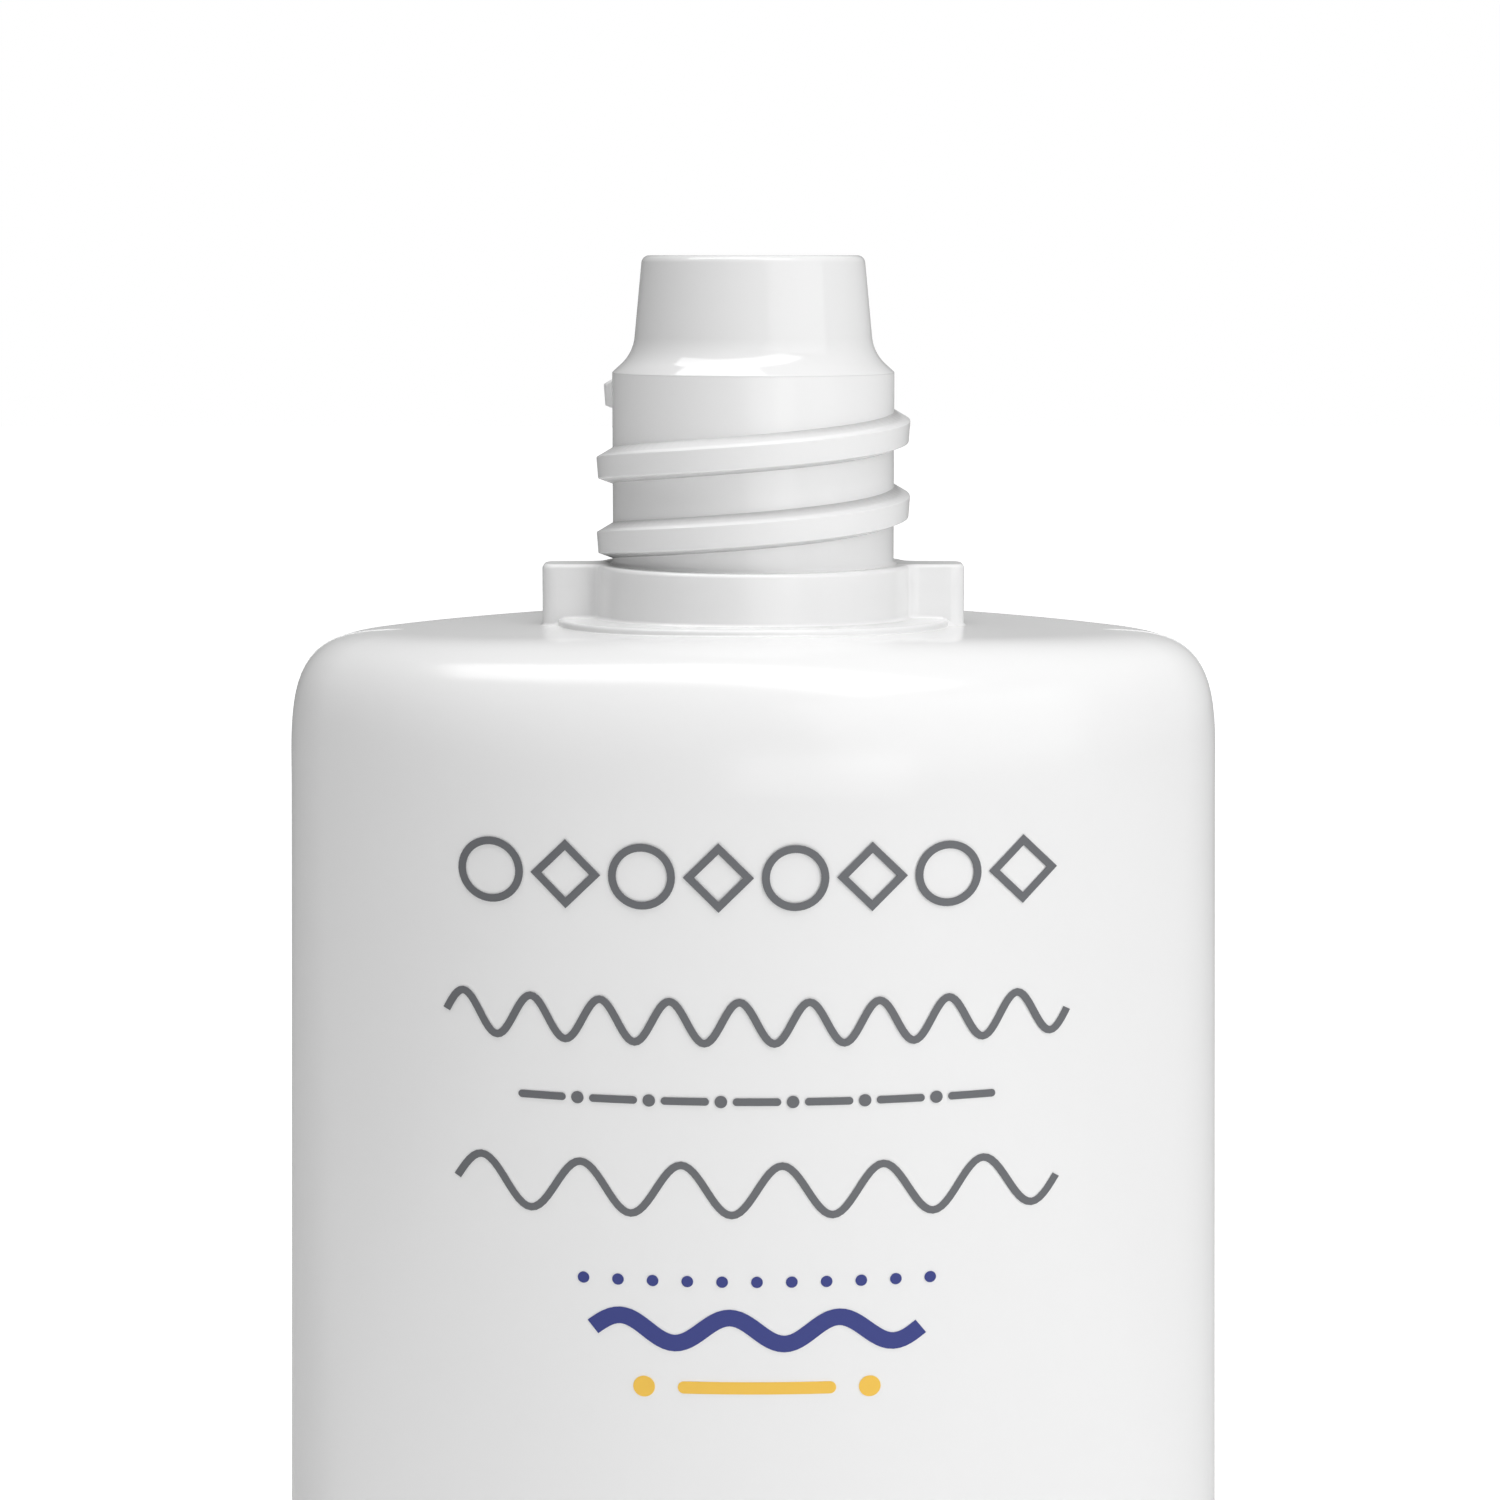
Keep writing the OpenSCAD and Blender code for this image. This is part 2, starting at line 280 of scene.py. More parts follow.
weld = [
    flat_section(15.9, 0.02, 0.24),
    flat_section(16.0, 0.10, 0.27),
    flat_section(16.1, 0.20, 0.48),
    flat_section(16.3, 0.55, 0.50),
    flat_section(16.7, 1.05, 0.48),
    flat_section(16.9, 1.22, 0.36),
    flat_section(17.0, 1.30, 0.08),
    flat_section(WELD_A, WELD_B, 0.00),
]

# %% Loft the blown body
WALL_RINGS, FOOT_RINGS, SHOULDER_RINGS = 26, 7, 26
CROWN_SCALES = (0.93, 0.86, 0.79, 0.72, 0.66, 0.60)


def standing_section(share):
    """A ring of the flat standing face, from the weld's recess out to the foot."""
    edge = [size - FOOT_R for size in wall_size(0)]
    sizes = [a + (b - a) * share for a, b in zip((WELD_A, WELD_B, WELD_R), edge)]
    return lambda i: Vector((*oval(*sizes, i), 0))


sections = weld + [standing_section(0.35), standing_section(0.7)]
for k in range(FOOT_RINGS + 1):
    t = math.pi / 2 * k / FOOT_RINGS
    sections.append(wall_section(FOOT_R * (1 - math.cos(t)), FOOT_R * (1 - math.sin(t))))
for k in range(1, WALL_RINGS):
    sections.append(wall_section(FOOT_R + (WALL_TOP - FOOT_R) * k / WALL_RINGS))
for k in range(SHOULDER_RINGS + 1):
    sections.append(shoulder_section(shoulder_turn(k / SHOULDER_RINGS)))
sections += [crown_section(scale) for scale in CROWN_SCALES]
sections.append(mouth_section)

bm = bmesh.new()
loft(bm, RING, sections)
body = as_piece(bm, "blown_body", merge=0.05)
body.modifiers.new("smooth", "SUBSURF").levels = 1
body.modifiers["smooth"].render_levels = 1
thickness = body.modifiers.new("blown wall", "SOLIDIFY")
thickness.thickness = WALL * MM
thickness.offset = -1
front = min(body.data.polygons, key=lambda f: f.center.y)
print("front face looks out:", front.normal.y < 0)

# %% [markdown]
# The two halves of the blow mould meet at the narrow sides and leave a fine
# line there, from the foot to the top of the shoulder. A line painted in the
# material would vanish at the outline. Lofted as a thin ridge of real
# plastic, it catches light like the real one.

# %% Mould lines on the narrow sides
LINE_FOOT_Z, LINE_STEP, CORNER_STEPS = 9, 5, 24


def side_path():
    """Points (x, z) up the narrow side and over the shoulder."""
    path = [(wall_size(z)[0], z) for z in range(LINE_FOOT_Z, math.ceil(WALL_TOP), LINE_STEP)]
    for k in range(1, CORNER_STEPS + 1):
        inset, down = shoulder_corner(shoulder_turn(k / CORNER_STEPS), 1)
        path.append((HALF_W - inset, crown_top(HALF_W - inset) - down))
    return path


def ridge(bm, path, half_w=0.10, height=0.035, root=0.12):
    """Lofts a low ridge of six points a section along a path in the XZ plane."""
    profile = [(height, 0.4), (height, -0.4), (0, -1), (-root, -1), (-root, 1), (0, 1)]

    def ridge_section(k):
        ahead, behind = path[min(k + 1, len(path) - 1)], path[max(k - 1, 0)]
        along = Vector((ahead[0] - behind[0], 0, ahead[1] - behind[1])).normalized()
        out = Vector((along.z, 0, -along.x))
        fade = min(1, k / 3, (len(path) - 1 - k) / 2)

        def at(i):
            rise, across = profile[i]
            if rise > 0:
                rise *= fade
            return Vector((path[k][0], across * half_w, path[k][1])) + out * rise
        return at

    loft(bm, len(profile), [ridge_section(k) for k in range(len(path))])
    bmesh.ops.holes_fill(bm, edges=bm.edges)


bm = bmesh.new()
ridge(bm, side_path())
bmesh.ops.mirror(
    bm, geom=bm.verts[:] + bm.edges[:] + bm.faces[:], axis="X", merge_dist=-1,
)
mould_lines = as_piece(bm, "mould_lines")

# %% [markdown]
# Under the neck sits a thin round ledge, and on it a collar ring that grows
# two wings. The wings line a cap up with the oval. A ring and two blocks
# could be joined by a Boolean and bevelled, but the creases between them come
# out uneven. Their plan is a chain of arcs and straights that all meet
# tangentially, so a loft of that one plan gives walls, rounded rims and a
# soft foot that runs out into the ledge.

# %% Plan of the collar ring and its wings
def plan_arc(x, y, r, start, end, steps, side=1):
    """An arc of the plan: points with their outward directions, side -1 where it is hollow."""
    outward = arc(0, 0, side, start, end, steps)
    return [(*point, *out) for point, out in zip(arc(x, y, r, start, end, steps), outward)]


def quarter_plan():
    """(x, y, outward x, outward y) from a wing's tip to the front of the ring."""
    cy = WING_HALF_T + WING_FILLET_R
    cx = math.sqrt((COLLAR_R + WING_FILLET_R) ** 2 - cy * cy)
    lean = math.degrees(math.atan2(cy, cx))
    tip_x, tip_y = WING_TIP - WING_EDGE_R, WING_HALF_T - WING_EDGE_R
    plan = [(WING_TIP, 0, 1, 0), (WING_TIP, tip_y / 2, 1, 0)]
    plan += plan_arc(tip_x, tip_y, WING_EDGE_R, 0, 90, 6)
    plan += [(tip_x + (cx - tip_x) * k / 4, WING_HALF_T, 0, 1) for k in (1, 2, 3)]
    plan += plan_arc(cx, cy, WING_FILLET_R, 270, 180 + lean, 6, side=-1)
    plan += plan_arc(0, 0, COLLAR_R, lean, 90, 16)
    return [p for k, p in enumerate(plan) if k == 0 or math.dist(p[:2], plan[k - 1][:2]) > 1e-6]


QUARTER = quarter_plan()
PLAN = QUARTER[:-1]
PLAN += [(-x, y, -nx, ny) for x, y, nx, ny in reversed(QUARTER[1:])]
PLAN += [(-x, -y, -nx, -ny) for x, y, nx, ny in QUARTER[:-1]]
PLAN += [(x, -y, nx, -ny) for x, y, nx, ny in reversed(QUARTER[1:])]
print("collar plan:", len(PLAN), "points")

# %% Sections of the collar, from its hidden hole over the rim to its foot
COLLAR_RIM_R, COLLAR_FOOT_R = 0.25, 0.18
COLLAR_STRAIGHT, COLLAR_SPREAD, COLLAR_SINK = 1.2, 0.1, 0.25
HOLE_R, ROOT_Z = 6.9, BODY_H - 1.2
LEDGE_BLEND = 0.3


def ledge_top(x):
    """Height of the ledge, which follows the crown down a little towards the wings."""
    return LEDGE_Z - LEDGE_FALL * (x / LEDGE_R) ** 2


def ground(x, y):
    """Height of the ledge or the crown that the collar stands on."""
    over = ease((LEDGE_R + LEDGE_BLEND / 2 - math.hypot(x, y)) / LEDGE_BLEND)
    return crown_top(x) + (ledge_top(x) - crown_top(x)) * over


def hole_section(z):
    """The plan drawn in to a circle that the neck hides."""
    def at(i):
        flat = Vector(PLAN[i][:2]).normalized() * HOLE_R
        return Vector((flat.x, flat.y, z))
    return at


def plan_section(offset, height, on_ground=False):
    """The plan grown by an offset, level or at a height over the ground."""
    def at(i):
        x, y, nx, ny = PLAN[i]
        x, y = x + nx * offset, y + ny * offset
        return Vector((x, y, height + (ground(x, y) if on_ground else 0)))
    return at


sections = [hole_section(ROOT_Z), hole_section(COLLAR_Z)]
rim, foot = COLLAR_RIM_R, COLLAR_FOOT_R
sections += [plan_section(out, up) for out, up in arc(-rim, COLLAR_Z - rim, rim, 90, 0, 4)]
sections.append(plan_section(0, COLLAR_Z - COLLAR_STRAIGHT))
sections += [plan_section(out, up, True) for out, up in arc(foot, foot, foot, 180, 270, 4)]
sections.append(plan_section(foot + COLLAR_SPREAD, -COLLAR_SINK, True))
sections.append(hole_section(ROOT_Z))

bm = bmesh.new()
loft(bm, len(PLAN), sections)
collar = as_piece(bm, "winged_collar")
weighted(collar)

# %% [markdown]
# The ledge is nearly a turned disc, but it stands on the arched crown, so
# its foot is lower at the wings than in front. A loft can follow that, and
# a lathe can't.

# %% Loft the round ledge
LEDGE_POINTS = 144
LEDGE_RIM_R, LEDGE_FOOT_R = 0.18, 0.06
LEDGE_SPREAD, LEDGE_SINK, LEDGE_ROOT = 0.3, 0.3, 1.0


def ledge_section(radius, height, floor_at):
    """A ring at a height over the level that floor_at gives for each x."""
    def at(i):
        t = 2 * math.pi * i / LEDGE_POINTS
        x, y = radius * math.cos(t), radius * math.sin(t)
        return Vector((x, y, height + floor_at(x)))
    return at


rim, foot = LEDGE_RIM_R, LEDGE_FOOT_R
root_section = ledge_section(HOLE_R, -LEDGE_ROOT, crown_top)
sections = [root_section, ledge_section(HOLE_R, 0, ledge_top)]
sections += [ledge_section(r, up, ledge_top) for r, up in arc(LEDGE_R - rim, -rim, rim, 90, 0, 5)]
sections += [ledge_section(r, up, crown_top) for r, up in arc(LEDGE_R + foot, foot, foot, 180, 270, 5)]
sections += [ledge_section(LEDGE_R + LEDGE_SPREAD, -LEDGE_SINK, crown_top), root_section]
bm = bmesh.new()
loft(bm, LEDGE_POINTS, sections)
ledge = as_piece(bm, "round_ledge")
weighted(ledge)

# %% [markdown]
# The neck is a plain turned tube with a small fillet at its foot. Its thread
# is a separate sweep that sinks into the tube: a ridge with a nearly flat
# crest and two slanting flanks, which climbs a little over two turns and
# fades out quickly at both ends. The sweep could be made with the Screw
# modifier, but only a loft lets the ends shrink.

# %% Turn the neck
LAND_EDGE_R, UNDER_LAND = 0.015, 3
NECK_SINK, NECK_ROOT_R, NECK_ROOT_Z = 0.4, HOLE_R + 0.3, ROOT_Z - 0.6
outline = [(BORE_R, NECK_ROOT_Z), (BORE_R, LAND_Z)]
outline += arc(NECK_R - LAND_EDGE_R, LAND_Z - LAND_EDGE_R, LAND_EDGE_R, 90, 0, 4)
outline += [(NECK_R, LAND_Z - UNDER_LAND)]
outline += arc(NECK_R + NECK_FOOT_R, COLLAR_Z + NECK_FOOT_R, NECK_FOOT_R, 180, 270, 5)
outline += [(NECK_R, COLLAR_Z - NECK_SINK), (NECK_ROOT_R, NECK_ROOT_Z)]
bm = bmesh.new()
lathe(bm, outline)
neck = as_piece(bm, "neck_tube")
weighted(neck)

# %% Sweep the thread
THREAD_BURY, THREAD_EDGE = 0.3, 0.045
THREAD_FADE, THREAD_END_SHARE, THREAD_STEP = 1.5, 0.5, 4
total = THREAD_TURNS * 360
steps = math.ceil(total / THREAD_STEP)


def rounded(corner, before, after):
    """Three points that round a corner off."""
    a = corner + (before - corner).normalized() * THREAD_EDGE
    c = corner + (after - corner).normalized() * THREAD_EDGE
    return [a, (a + c) / 4 + corner / 2, c]


def thread_section(angle):
    """The ridge's outline at an angle along the thread, smaller at both ends."""
    share = min(1, THREAD_END_SHARE + (1 - THREAD_END_SHARE) * min(angle, total - angle) / THREAD_FADE)
    tall = (THREAD_R - NECK_R) * share
    slope = THREAD_BURY / (THREAD_R - NECK_R)
    half = CREST_W / 2
    root_up = Vector((NECK_R - THREAD_BURY, half + UPPER_FLANK * (1 + slope)))
    up = Vector((NECK_R + tall, half))
    low = Vector((NECK_R + tall - DRAFT * share, -half))
    root_low = Vector((NECK_R - THREAD_BURY, -half - LOWER_FLANK * (1 + slope)))
    points = [root_up, *rounded(up, root_up, low), *rounded(low, up, root_low), root_low]
    turn = math.radians(THREAD_END - total + angle)
    z = LAND_Z - THREAD_DROP - THREAD_PITCH * (total - angle) / 360
    return lambda i: Vector(
        (points[i].x * math.cos(turn), points[i].x * math.sin(turn), z + points[i].y)
    )


bm = bmesh.new()
turns = [total * k / steps for k in range(1, steps)]
turns = [0, THREAD_FADE, *turns, total - THREAD_FADE, total]
loft(bm, 8, [thread_section(angle) for angle in turns])
bmesh.ops.holes_fill(bm, edges=bm.edges)
thread = as_piece(bm, "neck_thread_ridge")
weighted(thread)

for piece in (body, mould_lines, collar, ledge, neck, thread):
    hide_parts("bottle_shell")

# %% [markdown]
# The nozzle is a glossy turned moulding: a flat top with a round corner, a
# tapered side, and a hollow flare that ends in a knife-thin flange on the
# neck's land. A cylinder could be tapered and bevelled, but its flare would
# have to be guessed. Turned from an outline, the hollow arc runs exactly into
# the taper and the cone. The flare is what mirrors the light above the
# bottle, so it gets the most points of the outline.

# %% Outline of the nozzle's flare
CONE, FLANGE_R, FLANGE_IN = math.radians(47.7), 0.1, 0.005
EDGE_R = NECK_R - FLANGE_IN
corner_z = TIP_Z - TIP_EDGE_R
foot = Vector((EDGE_R - FLANGE_R, LAND_Z + FLANGE_EDGE))
cone_r, cone_z = foot.x + FLANGE_R * math.cos(CONE), foot.y + FLANGE_R * math.sin(CONE)
# The taper and the cone meet at this height, and the hollow arc touches both.
meet_z = (
    cone_r + cone_z * math.tan(CONE) - TIP_R - corner_z * math.tan(TAPER)
) / (math.tan(CONE) - math.tan(TAPER))
meet_r = TIP_R + (corner_z - meet_z) * math.tan(TAPER)
reach = FLARE_R * math.tan((CONE - TAPER) / 2)
arc_r = meet_r - reach * math.sin(TAPER) + FLARE_R * math.cos(TAPER)
arc_z = meet_z + reach * math.cos(TAPER) + FLARE_R * math.sin(TAPER)
print("flare's arc centred", round(arc_r, 2), "mm out,", round(arc_z - LAND_Z, 2), "mm over the land")

# %% Turn the nozzle
SKIRT_GAP, SKIRT_WALL, SKIRT_LENGTH = 0.05, 1.0, 8.0
LEAD_IN, LEAD_UP = 0.25, 0.5
ORIFICE_EDGE_R = 0.15
NOZZLE_STEPS = 160
skirt_r, skirt_z = BORE_R - SKIRT_GAP, LAND_Z - SKIRT_LENGTH
inner_r = skirt_r - SKIRT_WALL
roof_z = TIP_Z - TIP_WALL
roof_r = inner_r - (roof_z - LAND_Z) * math.tan(TAPER / 2)

outline = [(ORIFICE_R, roof_z)]
outline += arc(ORIFICE_R + ORIFICE_EDGE_R, TIP_Z - ORIFICE_EDGE_R, ORIFICE_EDGE_R, 180, 90, 3)
outline += arc(TIP_R - TIP_EDGE_R, corner_z, TIP_EDGE_R, 90, math.degrees(TAPER), 10)
outline += arc(arc_r, arc_z, -FLARE_R, math.degrees(TAPER), math.degrees(CONE), 14)
outline += arc(foot.x, foot.y, FLANGE_R, math.degrees(CONE), 0, 6)
outline += [(EDGE_R, LAND_Z), (skirt_r, LAND_Z), (skirt_r, skirt_z + LEAD_UP)]
outline += [(skirt_r - LEAD_IN, skirt_z), (inner_r, skirt_z), (inner_r, LAND_Z), (roof_r, roof_z)]
bm = bmesh.new()
lathe(bm, outline, NOZZLE_STEPS)
nozzle = as_piece(bm, "turned_nozzle")
weighted(nozzle)
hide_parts("nozzle_fitment")

# %% [markdown]
# The printed front is ink on the plastic. Here it is a generic pattern of
# rings, diamonds, waves and bars in a soft gray, a deep blue and an amber.
# It could be a texture, but that blurs from close up. So each mark is drawn
# flat as a thin sheet, bent onto the broad front by the oval's own formula
# and given the thickness of a coat of ink, which keeps every edge crisp.

# %% Bend a flat mark onto the front
INK_LIFT, INK_ROOT = 0.02, 0.05


def front_y(x, z):
    """Depth of the broad front at a place."""
    a, b, r = wall_size(z)
    broad = ((a - r) ** 2 + b * b - r * r) / (2 * (b - r))
    return -(math.sqrt(broad * broad - x * x) - (broad - b))


def printed(bm, name):
    """Makes flat marks drawn in X and Z a coat of ink on the front."""
    for vert in bm.verts:
        vert.co.y = front_y(vert.co.x, vert.co.z) + INK_ROOT
    grown = bmesh.ops.extrude_face_region(bm, geom=bm.faces[:])["geom"]
    for vert in (item for item in grown if isinstance(item, bmesh.types.BMVert)):
        vert.co.y -= INK_ROOT + INK_LIFT
    piece = as_piece(bm, name)
    for face in piece.data.polygons:
        face.use_smooth = False
    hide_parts("bottle_shell")
    return piece


# %% A strip of ink
def strip(bm, points, line):
    """A line of ink of one width along points (x, z): a row of quads grown from its first edge."""
    def sides(k):
        ahead, behind = points[min(k + 1, len(points) - 1)], points[max(k - 1, 0)]
        along = Vector((ahead[0] - behind[0], ahead[1] - behind[1])).normalized()
        out = Vector((-along.y, along.x)) * line / 2
        x, z = points[k]
        return Vector((x + out.x, 0, z + out.y)), Vector((x - out.x, 0, z - out.y))
    pair = [bm.verts.new(side) for side in sides(0)]
    edge = bm.edges.new(pair)
    for k in range(1, len(points)):
        grown = bmesh.ops.extrude_edge_only(bm, edges=[edge])["geom"]
        edge = next(
            item for item in grown
            if isinstance(item, bmesh.types.BMEdge) and not set(item.verts) & set(pair)
        )
        new = list(edge.verts)
        targets = sides(k)
        if (new[0].co - targets[0]).length > (new[1].co - targets[0]).length:
            new.reverse()
        for vert, target in zip(new, targets):
            vert.co = target
        pair = new


# %% Marks: dot, ring, wave and bar
DOT_CORNERS, RING_CORNERS, WAVE_STEPS, BAR_STEP = 36, 44, 24, 1.2


def upright(x, z):
    """The place of a circle that stands in X and Z."""
    return Matrix.Translation((x, 0, z)) @ Matrix.Rotation(math.pi / 2, 4, "X")


def disc(bm, x, z, r):
    """A round dot of ink."""
    bmesh.ops.create_circle(bm, cap_ends=True, segments=DOT_CORNERS, radius=r, matrix=upright(x, z))


def ring_mark(bm, x, z, r, line, corners=RING_CORNERS):
    """A ring, or with four corners a diamond: two circles joined by a bridge."""
    edges = []
    for radius in (r, r - line / math.cos(math.pi / corners)):
        circle = bmesh.ops.create_circle(bm, segments=corners, radius=radius, matrix=upright(x, z))
        verts = circle["verts"]
        edges += {edge for vert in verts for edge in vert.link_edges}
    bmesh.ops.bridge_loops(bm, edges=edges)


def wave(bm, x, z, w, high, waves, line):
    """A line of ink that rises and falls, centred at x and z."""
    steps = waves * WAVE_STEPS
    points = [
        (x - w / 2 + w * k / steps, z + high / 2 * math.sin(2 * math.pi * waves * k / steps))
        for k in range(steps + 1)
    ]
    strip(bm, points, line)


def bar(bm, x, z, w, line):
    """A straight line of ink with round ends."""
    steps = max(2, round(w / BAR_STEP))
    strip(bm, [(x - w / 2 + w * k / steps, z) for k in range(steps + 1)], line)
    for end in (-1, 1):
        disc(bm, x + end * w / 2, z, line / 2)


# %% A row of marks
PRINT_X = 0.2


def row(count, pitch):
    """Places x of a row of marks with an even pitch, centred on the print."""
    return [PRINT_X + (k - (count - 1) / 2) * pitch for k in range(count)]


# %% Print the gray marks
LINE = 0.42
SHAPE_Z, DASH_Z, DASH_PITCH = 100.6, 88.2, 3.9
bm = bmesh.new()
for k, x in enumerate(row(8, pitch=4.12)):
    if k % 2:
        ring_mark(bm, x, SHAPE_Z, r=1.9, line=LINE, corners=4)
    else:
        ring_mark(bm, x, SHAPE_Z, r=1.8, line=LINE)
wave(bm, PRINT_X, z=92.6, w=34.0, high=2.3, waves=9, line=LINE)
for x in row(7, DASH_PITCH):
    bar(bm, x, DASH_Z, w=2.2, line=LINE)
for x in row(6, DASH_PITCH):
    disc(bm, x, DASH_Z, r=0.34)
wave(bm, PRINT_X, z=83.2, w=33.0, high=2.8, waves=6, line=LINE)
gray_print = printed(bm, "print_gray")

# %% Print the blue and amber marks
DOT_Z, BAR_Z = 78.0, 71.9
bm = bmesh.new()
for x in row(11, pitch=1.9):
    disc(bm, x, DOT_Z, r=0.32)
wave(bm, PRINT_X, z=75.2, w=18.0, high=1.5, waves=3, line=0.95)
blue_print = printed(bm, "print_blue")

bm = bmesh.new()
bar(bm, PRINT_X, BAR_Z, w=8.0, line=0.7)
for x in row(2, pitch=12.4):
    disc(bm, x, BAR_Z, r=0.6)
amber_print = printed(bm, "print_amber")

# %% [markdown]
# Now the finishes. Both white plastics show the same two effects: a faint
# cloudiness in the colour where the melt flowed, and a fine bump left by the
# mould. So these effects are one node group, built once and placed in each
# material with its own values. The group works on Object coordinates, which
# are metres here, so its scales are large numbers.

# %% Helper: add a node with its fixed values
def add(nodes, kind, x, y, values=None, **settings):
    """A node of a kind at a place in the node editor, with values for its sockets."""
    node = nodes.new(kind)
    node.location = (x, y)
    for key, value in settings.items():
        setattr(node, key, value)
    for key, value in (values or {}).items():
        node.inputs[key].default_value = value
    return node


# %% Node group: the sockets of the moulded surface
moulded = bpy.data.node_groups.new("moulded surface", "ShaderNodeTree")
for name, default in (
    ("Color", (0.8, 0.8, 0.8, 1)), ("Cloud", 0.02), ("Grain scale", 2500.0),
    ("Roughness", 0.3), ("Roughness spread", 0.05),
):
    kind = "NodeSocketColor" if name == "Color" else "NodeSocketFloat"
    socket = moulded.interface.new_socket(name, in_out="INPUT", socket_type=kind)
    socket.default_value = default
for name in ("Color", "Roughness", "Height"):
    kind = "NodeSocketColor" if name == "Color" else "NodeSocketFloat"
    moulded.interface.new_socket(name, in_out="OUTPUT", socket_type=kind)

# %% Node group: its nodes
nodes, links = moulded.nodes, moulded.links
given = add(nodes, "NodeGroupInput", -900, 0)
result = add(nodes, "NodeGroupOutput", 600, 0)
where = add(nodes, "ShaderNodeTexCoord", -900, -300)
cloud = add(nodes, "ShaderNodeTexNoise", -650, 200, {"Scale": 55, "Detail": 3})
grain = add(nodes, "ShaderNodeTexNoise", -650, -200, {"Detail": 2})
around = add(nodes, "ShaderNodeMath", -420, 200, {1: 0.5}, operation="SUBTRACT")
amount = add(nodes, "ShaderNodeMath", -240, 200, operation="MULTIPLY")
shade = add(nodes, "ShaderNodeMath", -60, 200, {1: 1}, operation="ADD")
tint = add(nodes, "ShaderNodeVectorMath", 150, 250, operation="SCALE")
spread = add(nodes, "ShaderNodeMath", -240, 0, operation="MULTIPLY_ADD")
print("moulded surface group:", len(nodes), "nodes")

# %% Node group: its links
links.new(where.outputs["Object"], cloud.inputs["Vector"])
links.new(where.outputs["Object"], grain.inputs["Vector"])
links.new(given.outputs["Grain scale"], grain.inputs["Scale"])
links.new(cloud.outputs["Fac"], around.inputs[0])
links.new(around.outputs[0], amount.inputs[0])
links.new(given.outputs["Cloud"], amount.inputs[1])
links.new(amount.outputs[0], shade.inputs[0])
links.new(given.outputs["Color"], tint.inputs[0])
links.new(shade.outputs[0], tint.inputs["Scale"])
links.new(around.outputs[0], spread.inputs[0])
links.new(given.outputs["Roughness spread"], spread.inputs[1])
links.new(given.outputs["Roughness"], spread.inputs[2])
links.new(tint.outputs[0], result.inputs["Color"])
links.new(spread.outputs[0], result.inputs["Roughness"])
links.new(grain.outputs["Fac"], result.inputs["Height"])
print("moulded surface group:", len(links), "links")


# %% Helper: a material of the moulded surface
def moulded_material(name, color, cloudiness, grain_scale, roughness, spread, bump):
    """A Principled material dressed by the moulded surface group, its bump in millimetres."""
    material = bpy.data.materials.new(name)
    material.use_nodes = True
    tree = material.node_tree
    principled = tree.nodes["Principled BSDF"]
    values = {
        "Color": (*color, 1), "Cloud": cloudiness, "Grain scale": grain_scale,
        "Roughness": roughness, "Roughness spread": spread,
    }
    group = add(tree.nodes, "ShaderNodeGroup", -500, 100, values, node_tree=moulded)
    relief = add(tree.nodes, "ShaderNodeBump", -250, -150, {"Strength": 1, "Distance": bump * MM})
    tree.links.new(group.outputs["Color"], principled.inputs["Base Color"])
    tree.links.new(group.outputs["Roughness"], principled.inputs["Roughness"])
    tree.links.new(group.outputs["Height"], relief.inputs["Height"])
    tree.links.new(relief.outputs["Normal"], principled.inputs["Normal"])
    return material


def dress(material, *pieces):
    """Gives pieces one material."""
    for piece in pieces:
        piece.data.materials.clear()
        piece.data.materials.append(material)


# %% [markdown]
# The blown body is satin: its reflections are wide and soft. The nozzle came
# from a polished mould and mirrors the lamps more sharply, and the inks are
# dull. Each could be a plain Principled material, but a perfectly even white
# looks like wax. The grain's bump is a few thousandths of a millimetre,
# enough to break a reflection and too small to see.

# %% The plastics and the lotion
satin = moulded_material(
    "satin white plastic", (0.86, 0.86, 0.86), cloudiness=0.02, grain_scale=2500,
    roughness=0.19, spread=0.03, bump=0.003,
)
# The nozzle's white is a little darker than the body's: painted shade for the dimmer bounce light up
# at the top of the bottle.
gloss = moulded_material(
    "glossy white plastic", (0.82, 0.82, 0.82), cloudiness=0.015, grain_scale=1500,
    roughness=0.06, spread=0.02, bump=0.0012,
)
cream = moulded_material(
    "wet lotion", (0.88, 0.85, 0.76), cloudiness=0.05, grain_scale=300,
    roughness=0.12, spread=0.05, bump=0.05,
)


# %% The inks
def ink(name, color):
    """A dull ink."""
    return moulded_material(
        name, color, cloudiness=0.08, grain_scale=4000, roughness=0.42, spread=0.08, bump=0.003,
    )


gray_ink = ink("gray ink", (0.13, 0.135, 0.145))
blue_ink = ink("blue ink", (0.022, 0.035, 0.22))
amber_ink = ink("amber ink", (0.90, 0.55, 0.065))

# %% Dress the pieces
dress(satin, body, mould_lines, collar, ledge, neck, thread)
dress(gloss, nozzle)
dress(gray_ink, gray_print)
dress(blue_ink, blue_print)
dress(amber_ink, amber_print)
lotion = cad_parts["lotion_fill"]
for slot in lotion.material_slots:
    slot.material = cream
print("finishes:", [m.name for m in (satin, gloss, gray_ink, blue_ink, amber_ink, cream)])

# %% [markdown]
# The studio: a white floor and a white surrounding. Lamps strong enough to
# burn both out would burn the white bottle out too. So the white is a glow
# that only the camera sees, the lamps stay at a plain level, and the bottle
# keeps its shades. The floor still takes the bottle's shadow near its foot.

# %% Floor
FLOOR_SIZE, FLOOR_GAP = 6, 0.0002
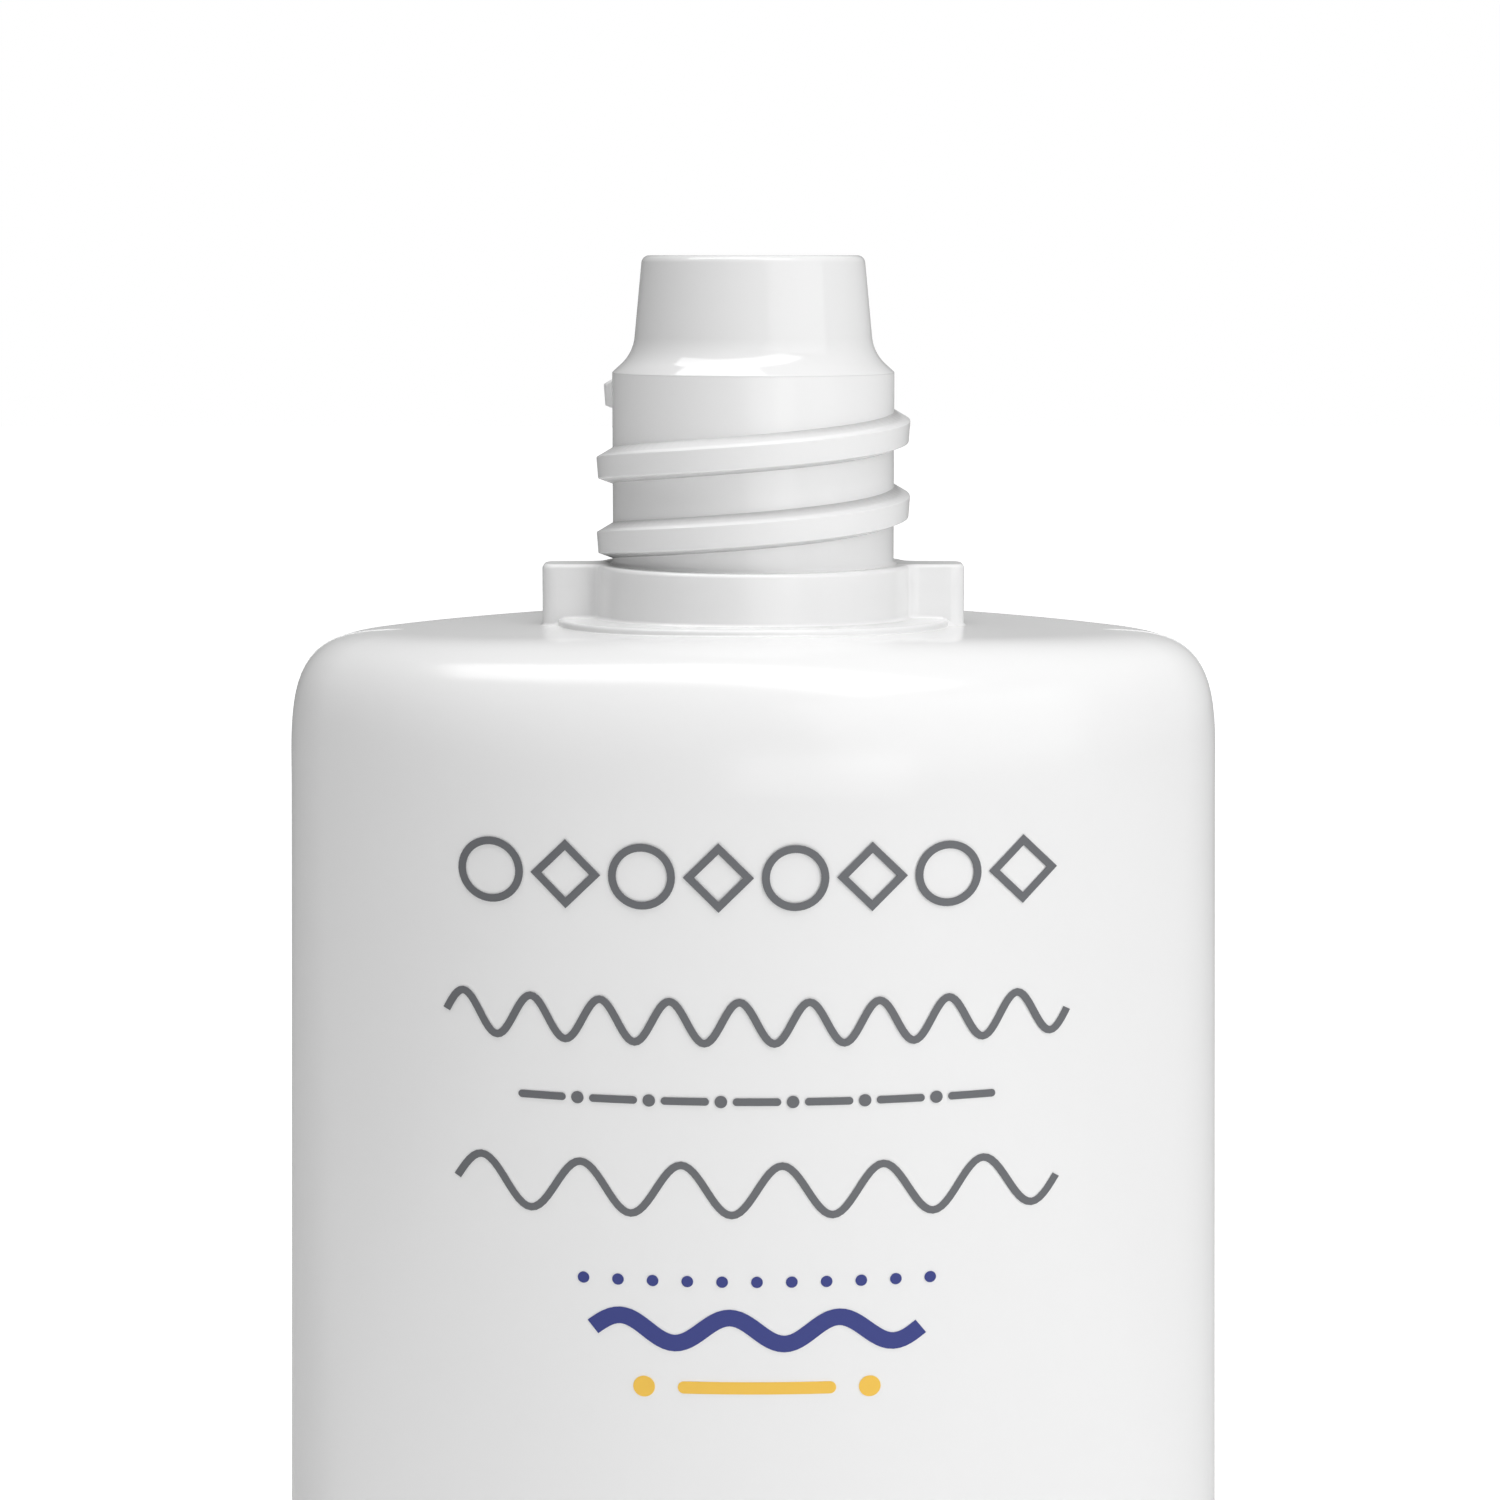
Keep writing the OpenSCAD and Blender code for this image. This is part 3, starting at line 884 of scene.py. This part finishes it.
# The glow grows from near the bottle to far, at distances in metres.
NEAR, FAR = 0.05, 0.19
NEAR_GLOW, FAR_GLOW = 0.15, 0.9
bpy.ops.mesh.primitive_plane_add(size=FLOOR_SIZE, location=(0, 0, -FLOOR_GAP))
floor = bpy.context.object
floor.name = "floor"
paper = bpy.data.materials.new("white paper")
paper.use_nodes = True
tree = paper.node_tree
tree.nodes.clear()
where = add(tree.nodes, "ShaderNodeTexCoord", -1000, 0)
away = add(tree.nodes, "ShaderNodeVectorMath", -800, 0, operation="LENGTH")
rise = add(
    tree.nodes, "ShaderNodeMapRange", -600, 0,
    {"From Min": NEAR, "From Max": FAR, "To Min": NEAR_GLOW, "To Max": FAR_GLOW},
    interpolation_type="SMOOTHSTEP",
)
seen = add(tree.nodes, "ShaderNodeLightPath", -600, 400)
level = add(tree.nodes, "ShaderNodeMath", -400, 200, operation="MULTIPLY")
glow = add(tree.nodes, "ShaderNodeEmission", -200, 100)
matte = add(tree.nodes, "ShaderNodeBsdfDiffuse", -200, -100, {"Color": (0.8, 0.8, 0.8, 1)})
both = add(tree.nodes, "ShaderNodeAddShader", 0, 0)
out = add(tree.nodes, "ShaderNodeOutputMaterial", 200, 0)
tree.links.new(where.outputs["Object"], away.inputs[0])
tree.links.new(away.outputs["Value"], rise.inputs["Value"])
tree.links.new(seen.outputs["Is Camera Ray"], level.inputs[0])
tree.links.new(rise.outputs["Result"], level.inputs[1])
tree.links.new(level.outputs[0], glow.inputs["Strength"])
tree.links.new(glow.outputs[0], both.inputs[0])
tree.links.new(matte.outputs[0], both.inputs[1])
tree.links.new(both.outputs[0], out.inputs["Surface"])
floor.data.materials.append(paper)
print("floor:", FLOOR_SIZE, "m wide, with its full glow from", FAR, "m away")

# %% [markdown]
# What a glossy white thing mirrors matters as much as its lamps. The real
# room was brighter on the right, which shades the bottle from side to side.
# Here the surrounding grows brighter from left to right, for every ray but
# the camera's own, which sees plain white.

# %% The surrounding
ROOM_LEFT, ROOM_RIGHT = 0.10, 0.48
world = bpy.data.worlds.new("studio")
bpy.context.scene.world = world
world.use_nodes = True
tree = world.node_tree
tree.nodes.clear()
seen = add(tree.nodes, "ShaderNodeLightPath", -600, 200)
level = add(tree.nodes, "ShaderNodeMapRange", -400, 200, {"To Max": 1})
where = add(tree.nodes, "ShaderNodeTexCoord", -1000, 0)
axes = add(tree.nodes, "ShaderNodeSeparateXYZ", -800, 0)
side = add(
    tree.nodes, "ShaderNodeMapRange", -600, 0,
    {"From Min": -1, "From Max": 1, "To Min": ROOM_LEFT, "To Max": ROOM_RIGHT},
)
room = add(tree.nodes, "ShaderNodeBackground", -200, 0, {"Color": (1, 1, 1, 1)})
out = add(tree.nodes, "ShaderNodeOutputWorld", 0, 0)
tree.links.new(where.outputs["Generated"], axes.inputs[0])
tree.links.new(axes.outputs["X"], side.inputs["Value"])
tree.links.new(side.outputs["Result"], level.inputs["To Min"])
tree.links.new(seen.outputs["Is Camera Ray"], level.inputs["Value"])
tree.links.new(level.outputs["Result"], room.inputs["Strength"])
tree.links.new(room.outputs[0], out.inputs["Surface"])
print("surrounding:", ROOM_LEFT, "at the left to", ROOM_RIGHT, "at the right")

# %% [markdown]
# Four soft boxes light the bottle. The key stands in front at the right, the
# overhead box draws the bright lines along the nozzle's flare, the rims and
# the shoulder, and two weak ones lift the shade in front and under the edges.

# %% Lamps
AIM = (0, 0, 95)


def softbox(name, place, aim, width, height, power):
    """An area lamp at a place, aimed at a point, in millimetres."""
    lamp = bpy.data.lights.new(name, "AREA")
    lamp.shape = "RECTANGLE"
    lamp.size, lamp.size_y, lamp.energy = width * MM, height * MM, power
    holder = bpy.data.objects.new(name, lamp)
    holder.location = Vector(place) * MM
    holder.rotation_euler = (Vector(aim) - Vector(place)).to_track_quat("-Z", "Y").to_euler()
    holder.visible_camera = False
    bpy.context.collection.objects.link(holder)
    print(name, "lamp:", power, "W")


softbox("key", (590, -590, 430), AIM, width=1000, height=800, power=2.65)
softbox("overhead", (-60, -110, 690), AIM, width=900, height=300, power=3.2)
softbox("low front", (180, -700, 100), AIM, width=500, height=150, power=0.35)
softbox("floor card", (0, -200, 4), (0, -200, 100), width=500, height=280, power=0.19)

# %% [markdown]
# The camera is level with the nozzle's top and looks down a little. It stands
# close enough that the front of each ring hangs visibly lower than its sides.
# A far camera with a longer lens would frame the same, but with flat rings.

# %% Camera
DISTANCE, RISE, PITCH = 230.1, -0.18, math.radians(6.935)
# The focal length and the frame in pixels, and the lens shift in frame widths.
FOCAL_PX, FRAME_PX, SHIFT = 4041, 1500, -0.0022
SENSOR, NEAREST = 36, 0.01
lens = bpy.data.cameras.new("camera")
lens.sensor_width = SENSOR
lens.lens = SENSOR * FOCAL_PX / FRAME_PX
lens.shift_x = SHIFT
lens.clip_start = NEAREST
camera = bpy.data.objects.new("camera", lens)
camera.location = (0, -DISTANCE * MM, (TIP_Z + RISE) * MM)
camera.rotation_euler = (math.pi / 2 - PITCH, 0, 0)
bpy.context.collection.objects.link(camera)
bpy.context.scene.camera = camera
bpy.context.scene.view_settings.view_transform = "Standard"
print("camera lens:", round(lens.lens, 1), "mm")
